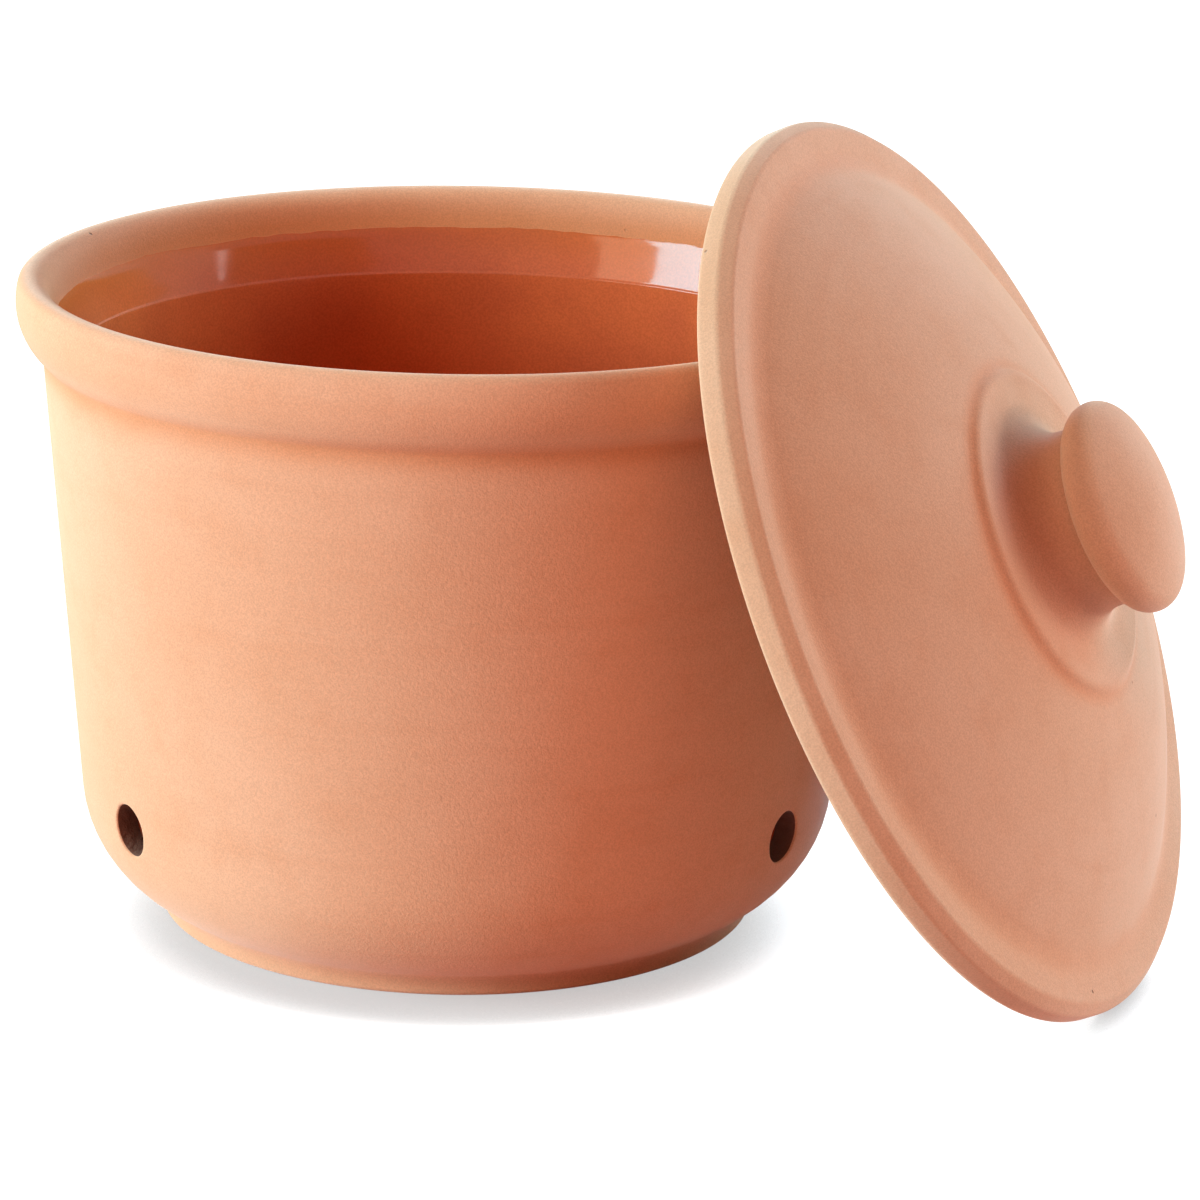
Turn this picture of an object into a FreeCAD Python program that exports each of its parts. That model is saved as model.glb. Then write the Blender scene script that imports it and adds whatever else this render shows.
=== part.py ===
"""Garlic keeper: a vented terracotta pot and its loose domed lid.

Both pieces are turned on the wheel, so each is one revolved section. The pot
stands on its foot ring at the origin, +Z up. The lid is off: it stands on its
brim beside the pot and leans on the pot's rim, turned towards +X and -Y.
Lengths are in millimetres and angles in degrees.
"""
import FreeCAD, Part
import math
import os
import re
import Sketcher

# Sketcher's numbers for a curve's own points, for the origin with the X axis, and for the
# vertical axis, which both pieces are turned about
START, END, CENTRE = range(1, 4)
ORIGIN, UP_AXIS = range(-1, -3, -1)

SIZES = [
    # pot, outside
    ("pot_height", 110.8), ("rim_radius", 75.1), ("rim_swell_depth", 5.3), ("rim_overhang", 4.7),
    ("rim_width", 8.5), ("rim_lower_curve", 14.5), ("rim_upper_curve", 12.0), ("rim_crest_curve", 1.8),
    ("wall_flare", 5.4), ("belly_height", 24.0), ("bottom_curve", 20.3),
    ("foot_inset", 13.8), ("foot_ring_width", 9.0), ("foot_recess", 2.0),
    ("foot_edge_round", 1.5), ("foot_waist_round", 2.2),
    # pot, inside
    ("mouth_flare", 3.6), ("ledge_depth", 14.4), ("ledge_width", 0.6), ("ledge_drop", 0.5),
    ("floor_thickness", 6.0), ("inner_bottom_curve", 15.0),
    # vents in the pot's wall
    ("vent_diameter", 9.0), ("vent_height", 22.7), ("vent_side_angle", 57.7), ("vent_back_angle", 180.0),
    # lid, outside
    ("lid_overhang", 2.1), ("brim_width", 8.5), ("brim_thickness", 5.8),
    ("brim_upper_round", 2.7), ("brim_lower_round", 2.2),
    ("dome_rise", 15.5), ("dome_curve", 102.3), ("dome_foot_round", 3.0),
    ("collar_radius", 28.2), ("collar_step", 1.1), ("collar_edge_round", 0.8),
    ("neck_cove", 5.5), ("knob_stand", 12.3),
    ("knob_radius", 18.25), ("knob_overhang", 3.25), ("knob_edge_curve", 3.8), ("knob_crown", 5.7),
    # lid, underneath
    ("lid_wall", 6.5), ("flange_clearance", 3.0), ("flange_width", 4.0), ("flange_depth", 4.0),
    ("flange_round", 1.2), ("knob_wall", 4.0), ("well_taper", 3.5), ("knob_roof", 10.4),
    # where the lid leans
    ("lean_angle", 64.6), ("lean_direction", -23.5), ("touch_gap", 0.3),
]

FOLLOWING = {
    # radii from the pot's axis
    "neck_radius": "rim_radius - rim_overhang",
    "mouth_radius": "rim_radius - rim_width",
    "shelf_radius": "mouth_radius - ledge_width",
    "belly_radius": "neck_radius - wall_flare",
    "foot_radius": "belly_radius - foot_inset",
    "foot_ring_radius": "foot_radius - foot_ring_width",
    # heights above the pot's foot
    "rim_swell_height": "pot_height - rim_swell_depth",
    "ledge_height": "pot_height - ledge_depth",
    "shelf_height": "ledge_height - ledge_drop",
    "floor_height": "foot_recess + floor_thickness",
    # radii from the lid's axis
    "lid_radius": "rim_radius + lid_overhang",
    "dome_radius": "lid_radius - brim_width",
    "flange_radius": "mouth_radius + mouth_flare * (1 - flange_depth / ledge_depth) - flange_clearance",
    "hollow_radius": "flange_radius - flange_width",
    "neck_side_radius": "knob_radius - knob_overhang",
    "well_radius": "neck_side_radius - knob_wall",
    "well_end_radius": "well_radius - well_taper",
    # heights above the plane of the brim's underside
    "dome_height": "brim_thickness + dome_rise",
    "collar_height": "dome_height + collar_step",
    "knob_middle_height": "collar_height + knob_stand",
    "knob_height": "knob_middle_height + knob_crown",
    "well_height": "knob_height - knob_roof",
}


def make_sheet(doc):
    """Write the driving sizes into a spreadsheet, one alias each."""
    sheet = doc.addObject("Spreadsheet::Sheet", "sizes")
    for row, (alias, value) in enumerate(SIZES, start=1):
        sheet.set("A%d" % row, alias)
        sheet.set("B%d" % row, str(value))
        sheet.setAlias("B%d" % row, alias)
    doc.recompute()
    return sheet


def with_sheet(text):
    """Turn each size name in a formula into a reference to its cell, or into what it follows from."""
    def reference(name):
        if name.group() in FOLLOWING:
            return "(" + with_sheet(FOLLOWING[name.group()]) + ")"
        return "<<sizes>>." + name.group()
    return re.sub("[a-z_]+", reference, text)


def measure(sheet, formula):
    """The value of a formula of size names, in millimetres or degrees."""
    return float(sheet.evalExpression(with_sheet(formula)))


class Outline:
    """A closed sketch outline whose corners and curves are bound to the sheet."""

    def __init__(self, body, name, sheet):
        self.sheet = sheet
        self.sketch = body.newObject("Sketcher::SketchObject", name)
        plane = [part for part in body.Origin.OriginFeatures if part.Role == "XZ_Plane"][0]
        self.sketch.AttachmentSupport = [(plane, "")]
        self.sketch.MapMode = "FlatFace"

    def value(self, formula):
        return measure(self.sheet, formula)

    def add(self, geometry):
        return self.sketch.addGeometry(geometry, False)

    def line(self, first, second):
        return self.add(Part.LineSegment(FreeCAD.Vector(*first, 0), FreeCAD.Vector(*second, 0)))

    def mark(self, point):
        """A construction point, for a line to aim at."""
        return self.sketch.addGeometry(Part.Point(FreeCAD.Vector(*point, 0)), True)

    def arc(self, centre, radius, first_angle, last_angle):
        circle = Part.Circle(FreeCAD.Vector(*centre, 0), FreeCAD.Vector(0, 0, 1), radius)
        return self.add(Part.ArcOfCircle(circle, math.radians(first_angle), math.radians(last_angle)))

    def tie(self, *arguments):
        """Add a constraint that has no size."""
        return self.sketch.addConstraint(Sketcher.Constraint(*arguments))

    def bind(self, formula, *arguments):
        """Add a constraint whose size follows a formula of the sheet's cells."""
        index = self.tie(*arguments, self.value(formula))
        self.sketch.setExpression("Constraints[%d]" % index, with_sheet(formula))

    def across(self, curve, end, formula):
        """Hold a point's distance from the turning axis."""
        self.bind(formula, "DistanceX", ORIGIN, START, curve, end)

    def height(self, curve, end, formula):
        """Hold a point's height above the base line."""
        self.bind(formula, "DistanceY", ORIGIN, START, curve, end)

    def radius(self, curve, formula):
        self.bind(formula, "Radius", curve)

    def join(self, curve, end, other, other_end):
        self.tie("Coincident", curve, end, other, other_end)

    def flow(self, curve, end, other, other_end):
        """Join two curves so that one runs smoothly into the other."""
        self.tie("Tangent", curve, end, other, other_end)


def circle_centre(first, second, radius):
    """Centre of the arc through two points, on the side of the axis and the base."""
    half_x, half_y = (second[0] - first[0]) / 2, (second[1] - first[1]) / 2
    half = math.hypot(half_x, half_y)
    reach = math.sqrt(radius ** 2 - half ** 2)
    sides = [(first[0] + half_x + turn * reach * half_y / half,
              first[1] + half_y - turn * reach * half_x / half) for turn in (1, -1)]
    return min(sides, key=lambda centre: centre[0] + centre[1])


def angle_of(point, centre):
    return math.degrees(math.atan2(point[1] - centre[1], point[0] - centre[0]))


def polar(centre, radius, angle):
    return (centre[0] + radius * math.cos(math.radians(angle)),
            centre[1] + radius * math.sin(math.radians(angle)))


def pot_outline(outline):
    """The pot's section: foot ring, belly, rolled rim, mouth, ledge, bowl and floor."""
    size = outline.value
    foot, ring = size("foot_radius"), size("foot_ring_radius")
    recess, floor = size("foot_recess"), size("floor_height")
    belly, neck = (size("belly_radius"), size("belly_height")), size("neck_radius")
    swell = (size("rim_radius"), size("rim_swell_height"))
    lower, upper = size("rim_lower_curve"), size("rim_upper_curve")
    crest, top, mouth = size("rim_crest_curve"), size("pot_height"), size("mouth_radius")

    # where the rim's underside leaves the neck, and the wall's slope up to it
    under_centre = (swell[0] - lower, swell[1])
    under_angle = -math.degrees(math.acos((neck - under_centre[0]) / lower))
    under = polar(under_centre, lower, under_angle)
    slope = math.degrees(math.atan2(neck - belly[0], under[1] - belly[1]))
    bottom_centre = polar(belly, size("bottom_curve"), 180 - slope)
    waist_angle = -math.degrees(math.acos((foot - bottom_centre[0]) / size("bottom_curve")))
    waist = polar(bottom_centre, size("bottom_curve"), waist_angle)

    # the crest's small curve sits inside the upper curve, touches the top and meets the lip there
    upper_centre = (swell[0] - upper, swell[1])
    crest_x = upper_centre[0] + math.sqrt((upper - crest) ** 2 - (top - crest - swell[1]) ** 2)
    crest_centre = (crest_x, top - crest)
    turn_angle = angle_of(crest_centre, upper_centre)
    turn = polar(upper_centre, upper, turn_angle)

    # the mouth widens from the ledge up to the lip, and would be this wide at the top
    ledge = (mouth, size("ledge_height"))
    mouth_top = (size("mouth_radius + mouth_flare"), top)
    flare = math.atan2(mouth_top[0] - mouth, top - ledge[1])
    lip = (crest_x - mouth_top[0]) / (math.cos(flare) - (1 - math.sin(flare)) * math.tan(flare))
    lip_centre = (crest_x, top - lip)
    lip_angle = 180 - math.degrees(flare)

    shelf = (size("shelf_radius"), size("shelf_height"))
    bowl = size("inner_bottom_curve")
    bowl_x = shelf[0] - (shelf[1] - floor - bowl) * math.tan(math.radians(slope)) \
        - bowl / math.cos(math.radians(slope))
    bowl_centre = (bowl_x, floor + bowl)
    bowl_side = polar(bowl_centre, bowl, -slope)

    foot_base = outline.line((ring, 0), (foot, 0))
    foot_side = outline.line((foot, 0), waist)
    bottom = outline.arc(bottom_centre, size("bottom_curve"), waist_angle, -slope)
    wall = outline.line(belly, under)
    rim_lower = outline.arc(under_centre, lower, under_angle, 0)
    rim_upper = outline.arc(upper_centre, upper, 0, turn_angle)
    rim_crest = outline.arc(crest_centre, crest, turn_angle, 90)
    rim_lip = outline.arc(lip_centre, lip, 90, lip_angle)
    mouth_side = outline.line(polar(lip_centre, lip, lip_angle), ledge)
    mouth_mark = outline.mark(mouth_top)
    ledge_slope = outline.line(ledge, shelf)
    inner_wall = outline.line(shelf, bowl_side)
    inner_bottom = outline.arc(bowl_centre, bowl, -90, -slope)
    inner_floor = outline.line((bowl_x, floor), (0, floor))
    axis = outline.line((0, floor), (0, recess))
    recess_roof = outline.line((0, recess), (ring, recess))
    recess_side = outline.line((ring, recess), (ring, 0))

    outline.join(foot_base, END, foot_side, START)
    outline.join(foot_side, END, bottom, START)
    outline.flow(bottom, END, wall, START)
    outline.join(wall, END, rim_lower, START)
    outline.flow(rim_lower, END, rim_upper, START)
    outline.flow(rim_upper, END, rim_crest, START)
    outline.flow(rim_crest, END, rim_lip, START)
    outline.flow(rim_lip, END, mouth_side, START)
    outline.join(mouth_side, END, ledge_slope, START)
    outline.join(ledge_slope, END, inner_wall, START)
    outline.flow(inner_wall, END, inner_bottom, END)
    outline.flow(inner_bottom, START, inner_floor, START)
    outline.join(inner_floor, END, axis, START)
    outline.join(axis, END, recess_roof, START)
    outline.join(recess_roof, END, recess_side, START)
    outline.join(recess_side, END, foot_base, START)

    outline.tie("PointOnObject", foot_base, START, ORIGIN)
    outline.tie("Vertical", rim_crest, CENTRE, rim_crest, END)
    for level in (foot_base, inner_floor, recess_roof):
        outline.tie("Horizontal", level)
    for upright in (foot_side, axis, recess_side):
        outline.tie("Vertical", upright)
    outline.tie("PointOnObject", axis, START, UP_AXIS)
    outline.tie("Parallel", wall, inner_wall)
    outline.across(foot_base, START, "foot_ring_radius")
    outline.across(foot_base, END, "foot_radius")
    outline.across(bottom, END, "belly_radius")
    outline.height(bottom, END, "belly_height")
    outline.radius(bottom, "bottom_curve")
    outline.across(wall, END, "neck_radius")
    outline.across(rim_lower, END, "rim_radius")
    outline.height(rim_lower, END, "rim_swell_height")
    outline.radius(rim_lower, "rim_lower_curve")
    outline.height(rim_lower, CENTRE, "rim_swell_height")
    outline.radius(rim_upper, "rim_upper_curve")
    outline.radius(rim_crest, "rim_crest_curve")
    outline.height(rim_crest, END, "pot_height")
    outline.tie("PointOnObject", mouth_mark, START, mouth_side)
    outline.across(mouth_mark, START, "mouth_radius + mouth_flare")
    outline.height(mouth_mark, START, "pot_height")
    outline.across(mouth_side, END, "mouth_radius")
    outline.height(mouth_side, END, "ledge_height")
    outline.across(ledge_slope, END, "shelf_radius")
    outline.height(ledge_slope, END, "shelf_height")
    outline.radius(inner_bottom, "inner_bottom_curve")
    outline.height(inner_floor, END, "floor_height")
    outline.height(recess_roof, END, "foot_recess")
    return {"waist": waist}


def lid_outline(outline):
    """The lid's section: knob, neck, collar, dome, brim, flange, hollow and knob well."""
    size = outline.value
    knob_centre = (size("knob_radius - knob_edge_curve"), size("knob_middle_height"))
    edge, knob_top = size("knob_edge_curve"), size("knob_height")
    rise = knob_top - knob_centre[1] - edge
    drop = (knob_centre[0] ** 2 - rise ** 2) / (2 * rise)
    crown_centre = (0, knob_centre[1] - drop)
    crown = knob_top - crown_centre[1]
    meet_angle = angle_of(knob_centre, crown_centre)
    neck, cove = size("neck_side_radius"), size("neck_cove")
    under_angle = -math.degrees(math.acos((neck - knob_centre[0]) / edge))
    under_knob = polar(knob_centre, edge, under_angle)
    collar, collar_top = size("collar_radius"), size("collar_height")
    cove_centre = (neck + cove, collar_top + cove)

    dome_top = (collar, size("dome_height"))
    dome_foot = (size("dome_radius"), size("brim_thickness"))
    dome, hollow = size("dome_curve"), size("dome_curve - lid_wall")
    dome_centre = circle_centre(dome_top, dome_foot, dome)
    brim = (size("lid_radius"), size("brim_thickness"))
    upper, lower = size("brim_upper_round"), size("brim_lower_round")
    flange, depth = size("flange_radius"), size("flange_depth")
    inside = size("hollow_radius")
    well, well_end, well_top = size("well_radius"), size("well_end_radius"), size("well_height")
    inside_angle = math.degrees(math.acos((inside - dome_centre[0]) / hollow))
    well_angle = math.degrees(math.acos((well - dome_centre[0]) / hollow))

    knob_crown = outline.arc(crown_centre, crown, meet_angle, 90)
    knob_edge = outline.arc(knob_centre, edge, under_angle, meet_angle)
    neck_side = outline.line(under_knob, (neck, cove_centre[1]))
    neck_cove = outline.arc(cove_centre, cove, 180, 270)
    collar_roof = outline.line((cove_centre[0], collar_top), (collar, collar_top))
    collar_side = outline.line((collar, collar_top), dome_top)
    dome_face = outline.arc(dome_centre, dome, angle_of(dome_foot, dome_centre), angle_of(dome_top, dome_centre))
    brim_roof = outline.line(dome_foot, (brim[0] - upper, brim[1]))
    brim_upper = outline.arc((brim[0] - upper, brim[1] - upper), upper, 0, 90)
    brim_side = outline.line((brim[0], brim[1] - upper), (brim[0], lower))
    brim_lower = outline.arc((brim[0] - lower, lower), lower, -90, 0)
    brim_base = outline.line((brim[0] - lower, 0), (flange, 0))
    flange_side = outline.line((flange, 0), (flange, -depth))
    flange_base = outline.line((flange, -depth), (inside, -depth))
    flange_inside = outline.line((inside, -depth), polar(dome_centre, hollow, inside_angle))
    hollow_face = outline.arc(dome_centre, hollow, inside_angle, well_angle)
    well_side = outline.line(polar(dome_centre, hollow, well_angle), (well_end, well_top))
    well_roof = outline.line((well_end, well_top), (0, well_top))
    axis = outline.line((0, well_top), (0, knob_top))

    outline.join(axis, END, knob_crown, END)
    outline.flow(knob_crown, START, knob_edge, END)
    outline.join(knob_edge, START, neck_side, START)
    outline.flow(neck_side, END, neck_cove, START)
    outline.flow(neck_cove, END, collar_roof, START)
    outline.join(collar_roof, END, collar_side, START)
    outline.join(collar_side, END, dome_face, END)
    outline.join(dome_face, START, brim_roof, START)
    outline.flow(brim_roof, END, brim_upper, END)
    outline.flow(brim_upper, START, brim_side, START)
    outline.flow(brim_side, END, brim_lower, END)
    outline.flow(brim_lower, START, brim_base, START)
    outline.join(brim_base, END, flange_side, START)
    outline.join(flange_side, END, flange_base, START)
    outline.join(flange_base, END, flange_inside, START)
    outline.join(flange_inside, END, hollow_face, START)
    outline.join(hollow_face, END, well_side, START)
    outline.join(well_side, END, well_roof, START)
    outline.join(well_roof, END, axis, START)

    for level in (collar_roof, brim_roof, brim_base, flange_base, well_roof):
        outline.tie("Horizontal", level)
    for upright in (neck_side, collar_side, brim_side, flange_side, flange_inside, axis):
        outline.tie("Vertical", upright)
    outline.tie("PointOnObject", knob_crown, CENTRE, UP_AXIS)
    outline.tie("PointOnObject", axis, START, UP_AXIS)
    outline.tie("PointOnObject", brim_base, START, ORIGIN)
    outline.join(dome_face, CENTRE, hollow_face, CENTRE)
    outline.height(knob_crown, END, "knob_height")
    outline.across(knob_edge, CENTRE, "knob_radius - knob_edge_curve")
    outline.height(knob_edge, CENTRE, "knob_middle_height")
    outline.radius(knob_edge, "knob_edge_curve")
    outline.across(neck_side, START, "neck_side_radius")
    outline.radius(neck_cove, "neck_cove")
    outline.height(collar_roof, END, "collar_height")
    outline.across(collar_side, END, "collar_radius")
    outline.height(collar_side, END, "dome_height")
    outline.radius(dome_face, "dome_curve")
    outline.across(brim_roof, START, "dome_radius")
    outline.height(brim_roof, START, "brim_thickness")
    outline.radius(brim_upper, "brim_upper_round")
    outline.across(brim_side, START, "lid_radius")
    outline.radius(brim_lower, "brim_lower_round")
    outline.across(flange_side, START, "flange_radius")
    outline.height(flange_base, START, "0 - flange_depth")
    outline.across(flange_inside, START, "hollow_radius")
    outline.radius(hollow_face, "dome_curve - lid_wall")
    outline.across(well_side, START, "well_radius")
    outline.across(well_side, END, "well_end_radius")
    outline.height(well_side, END, "well_height")


def turned_body(doc, sheet, name, draw):
    """A body made by turning one outline a full turn about the vertical axis."""
    body = doc.addObject("PartDesign::Body", name)
    body.Label = name
    outline = Outline(body, name + "_section", sheet)
    corners = draw(outline)
    turned = body.newObject("PartDesign::Revolution", name + "_turned")
    turned.Profile = outline.sketch
    turned.ReferenceAxis = (outline.sketch, ["V_Axis"])
    turned.Angle = 360
    outline.sketch.Visibility = False
    doc.recompute()
    return body, outline, corners


def ring_edge(shape, radius, height):
    """Name of the circular edge nearest to a radius and a height."""
    def miss(edge):
        if edge.Degenerated or not isinstance(edge.Curve, Part.Circle):
            return math.inf
        if abs(edge.Curve.Axis.z) < 0.999:
            return math.inf
        return math.hypot(edge.Curve.Radius - radius, edge.Curve.Center.z - height)
    misses = [miss(edge) for edge in shape.Edges]
    return "Edge%d" % (misses.index(min(misses)) + 1)


def round_rings(doc, body, name, rings, formula):
    """Round circular edges, given as radius and height pairs, by one named size."""
    base = body.Tip
    rounding = body.newObject("PartDesign::Fillet", name)
    rounding.Base = (base, [ring_edge(base.Shape, radius, height) for radius, height in rings])
    rounding.setExpression("Radius", with_sheet(formula))
    body.Tip = rounding
    doc.recompute()


def cut_vent(doc, body, sheet, name, angle):
    """Punch one round vent through the wall, level, at an angle round the pot from -Y."""
    before = body.Tip.Shape.Volume
    outline = Outline(body, name + "_circle", sheet)
    outline.sketch.setExpression("AttachmentOffset.Rotation.Angle", with_sheet(angle))
    outline.sketch.AttachmentOffset = FreeCAD.Placement(
        FreeCAD.Vector(), FreeCAD.Rotation(FreeCAD.Vector(0, 1, 0), outline.value(angle)))
    middle = FreeCAD.Vector(0, outline.value("vent_height"), 0)
    hole = outline.add(Part.Circle(middle, FreeCAD.Vector(0, 0, 1), outline.value("vent_diameter / 2")))
    outline.tie("PointOnObject", hole, CENTRE, UP_AXIS)
    outline.height(hole, CENTRE, "vent_height")
    outline.radius(hole, "vent_diameter / 2")
    vent = body.newObject("PartDesign::Pocket", name)
    vent.Profile = outline.sketch
    vent.Type = "ThroughAll"
    vent.Reversed = True
    body.Tip = vent
    doc.recompute()
    if vent.Shape.Volume > before - 1:
        raise RuntimeError(name + " cut nothing")


def make_pot(doc, sheet):
    body, outline, corners = turned_body(doc, sheet, "pot", pot_outline)
    size = outline.value
    ring = size("foot_ring_radius")
    round_rings(doc, body, "foot_waist", [corners["waist"]], "foot_waist_round")
    round_rings(doc, body, "foot_edges", [(size("foot_radius"), 0), (ring, 0)], "foot_edge_round")
    cut_vent(doc, body, sheet, "vent_left", "0 - vent_side_angle")
    cut_vent(doc, body, sheet, "vent_right", "vent_side_angle")
    cut_vent(doc, body, sheet, "vent_back", "vent_back_angle")
    return body


def make_lid(doc, sheet):
    body, outline, _ = turned_body(doc, sheet, "lid", lid_outline)
    size = outline.value
    flange, depth = size("flange_radius"), size("flange_depth")
    inside = size("hollow_radius")
    round_rings(doc, body, "collar_edge", [(size("collar_radius"), size("collar_height"))], "collar_edge_round")
    round_rings(doc, body, "dome_foot", [(size("dome_radius"), size("brim_thickness"))], "dome_foot_round")
    round_rings(doc, body, "flange_edges", [(flange, -depth), (inside, -depth)], "flange_round")
    return body


def lean_lid(pot, lid, sheet):
    """Stand the lid on its brim and slide it in until it is a hair's breadth off the rim."""
    tilt = FreeCAD.Rotation(FreeCAD.Vector(0, 1, 0), sheet.lean_angle)
    turn = FreeCAD.Rotation(FreeCAD.Vector(0, 0, 1), sheet.lean_direction)
    steep = math.radians(sheet.lean_angle)
    edge = sheet.brim_lower_round
    brim = measure(sheet, "lid_radius")
    height = (brim - edge) * math.sin(steep) - edge * math.cos(steep) + edge
    outwards = turn.multVec(FreeCAD.Vector(1, 0, 0))
    rim = Part.makeCompound([face for face in pot.Shape.Faces
                             if face.BoundBox.ZMax > measure(sheet, "rim_swell_height")])
    away = sheet.rim_radius + brim * math.cos(steep)
    gap = math.inf
    while gap > sheet.touch_gap * 1.05:
        lid.Placement = FreeCAD.Placement(outwards * away + FreeCAD.Vector(0, 0, height), turn * tilt)
        gap = rim.distToShape(lid.Shape)[0]
        away -= gap - sheet.touch_gap
    print("lid stands %.2f mm from the pot's axis, %.2f mm off the rim" % (away, gap))


def check(doc, bodies):
    """Stop if any object failed or any piece is not one sound solid."""
    for thing in doc.Objects:
        if "Invalid" in thing.State or "Error" in thing.State:
            raise RuntimeError("%s failed: %s" % (thing.Name, thing.State))
    for body in bodies:
        shape = body.Shape
        if shape.isNull() or not shape.isValid() or len(shape.Solids) != 1:
            raise RuntimeError(body.Label + " is not one valid solid")
        print("%s: %.0f mm3" % (body.Label, shape.Volume))


def main():
    doc = FreeCAD.newDocument("garlic_keeper")
    sheet = make_sheet(doc)
    pot = make_pot(doc, sheet)
    lid = make_lid(doc, sheet)
    lean_lid(pot, lid, sheet)
    doc.recompute()
    check(doc, (pot, lid))
    os.makedirs("parts", exist_ok=True)
    for body in (pot, lid):
        body.Shape.exportStep(os.path.join("parts", body.Label + ".step"))


main()
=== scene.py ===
from math import acos, atan2, cos, degrees, exp, hypot, pi, radians, sin, sqrt, tan
import bmesh
import bpy
from mathutils import Matrix, Vector, noise
from mathutils.bvhtree import BVHTree


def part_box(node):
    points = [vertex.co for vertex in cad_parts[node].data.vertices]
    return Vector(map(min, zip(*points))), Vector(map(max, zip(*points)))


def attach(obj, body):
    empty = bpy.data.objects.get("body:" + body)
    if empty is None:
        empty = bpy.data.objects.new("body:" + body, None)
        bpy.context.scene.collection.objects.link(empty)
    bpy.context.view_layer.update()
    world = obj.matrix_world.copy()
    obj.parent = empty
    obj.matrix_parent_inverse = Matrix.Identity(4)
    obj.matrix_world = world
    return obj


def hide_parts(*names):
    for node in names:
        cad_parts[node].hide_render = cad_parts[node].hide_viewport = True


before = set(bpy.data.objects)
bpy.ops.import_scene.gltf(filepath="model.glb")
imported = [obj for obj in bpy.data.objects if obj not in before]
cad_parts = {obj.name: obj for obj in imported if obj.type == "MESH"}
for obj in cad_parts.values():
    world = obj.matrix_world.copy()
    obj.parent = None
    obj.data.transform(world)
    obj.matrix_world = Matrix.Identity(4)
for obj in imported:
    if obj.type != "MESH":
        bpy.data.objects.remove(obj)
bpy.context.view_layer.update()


# ---------------------------------------------------------------------------------------
# Camera: a long lens a little over eighty centimetres in front of the pot and thirty
# above the table, looking down into the mouth.
# ---------------------------------------------------------------------------------------
CAMERA_PLACE = (0, -0.846, 0.2986)
CAMERA_DOWN = 0.2818
CAMERA_TO_RIGHT = 0.0285
CAMERA_ROLL = 0.0188
LENS_LENGTH, FILM_WIDTH = 153.77, 36

lens = bpy.data.cameras.new("camera")
lens.lens = LENS_LENGTH
lens.sensor_width = FILM_WIDTH
lens.clip_end = 50
camera = bpy.data.objects.new("camera", lens)
camera.matrix_world = (
    Matrix.Translation(CAMERA_PLACE)
    @ Matrix.Rotation(-CAMERA_TO_RIGHT, 4, "Z")
    @ Matrix.Rotation(pi / 2 - CAMERA_DOWN, 4, "X")
    @ Matrix.Rotation(CAMERA_ROLL, 4, "Z"))
bpy.context.collection.objects.link(camera)
bpy.context.scene.camera = camera
bpy.context.scene.view_settings.view_transform = "Standard"


# ---------------------------------------------------------------------------------------
# Pot: red earthenware, jiggered on the wheel in one piece. It has a foot ring, a rounded
# belly, a slightly flared wall and a rolled rim, and the bowl is glazed up to a line in
# the mouth. Three air vents are punched low in the wall while the clay is still soft.
# ---------------------------------------------------------------------------------------
MM = 0.001
POINTS_ROUND = 256

POT_HEIGHT = 110.8
RIM_RADIUS, RIM_SWELL_HEIGHT = 75.1, 106.5
RIM_LOWER_CURVE, RIM_UPPER_CURVE, RIM_CREST_CURVE = 11.4, 12.0, 1.8
NECK_RADIUS, NECK_ROUND = 70.7, 1.6
BELLY_RADIUS, BELLY_HEIGHT, BOTTOM_CURVE = 64.7, 21.8, 21.6
FOOT_RADIUS, FOOT_RING_RADIUS, FOOT_RECESS = 51.2, 42.2, 2.0
FOOT_WAIST_ROUND, FOOT_EDGE_ROUND = 2.6, 0.9
LEDGE_RADIUS, LEDGE_HEIGHT, MOUTH_FLARE = 66.6, 96.4, 3.6
LEDGE_WIDTH, LEDGE_DROP, LEDGE_ROUND = 0.25, 0.3, 0.12
INNER_BOTTOM_CURVE, FLOOR_HEIGHT = 15.0, 8.0
GLAZE_LINE_HEIGHT, GLAZE_THICKNESS, GLAZE_LIP, GLAZE_WAVE = 104.4, 0.2, 0.3, 0.25
VENT_RADIUS, VENT_HEIGHT, VENT_EDGE_ROUND = 4.5, 22.7, 0.35
VENT_COLLARS = (6.6, 5.3)
VENT_BLOCK_HALF = 7.4
VENT_TURNS = (41, -41, 128)


def polar(centre, radius, angle):
    """A place on a circle of a turned piece's half section, as radius and height."""
    return (centre[0] + radius * cos(radians(angle)), centre[1] + radius * sin(radians(angle)))


def draw_straight(clay, point, place, steps=1):
    """Draw the half section on, straight to a radius and height, in equal steps."""
    step = (Vector((place[0], 0, place[1])) - point.co) / steps
    for _ in range(steps):
        point = bmesh.ops.extrude_vert_indiv(clay, verts=[point])["verts"][0]
        point.co += step
    return point


def draw_curve(clay, point, centre, angle, steps):
    """Draw the half section on round a centre, counter-clockwise where the angle is positive."""
    swept = bmesh.ops.spin(clay, geom=[point], cent=(centre[0], 0, centre[1]), axis=(0, -1, 0),
                           angle=radians(angle), steps=steps)
    return [end for end in swept["geom_last"] if isinstance(end, bmesh.types.BMVert)][0]


def soften(clay, corner, reach):
    """Round a corner of the half section."""
    bmesh.ops.bevel(clay, geom=[corner], offset=reach, offset_type="OFFSET", segments=5, profile=0.5,
                    affect="VERTICES", clamp_overlap=True, material=-1)


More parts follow.
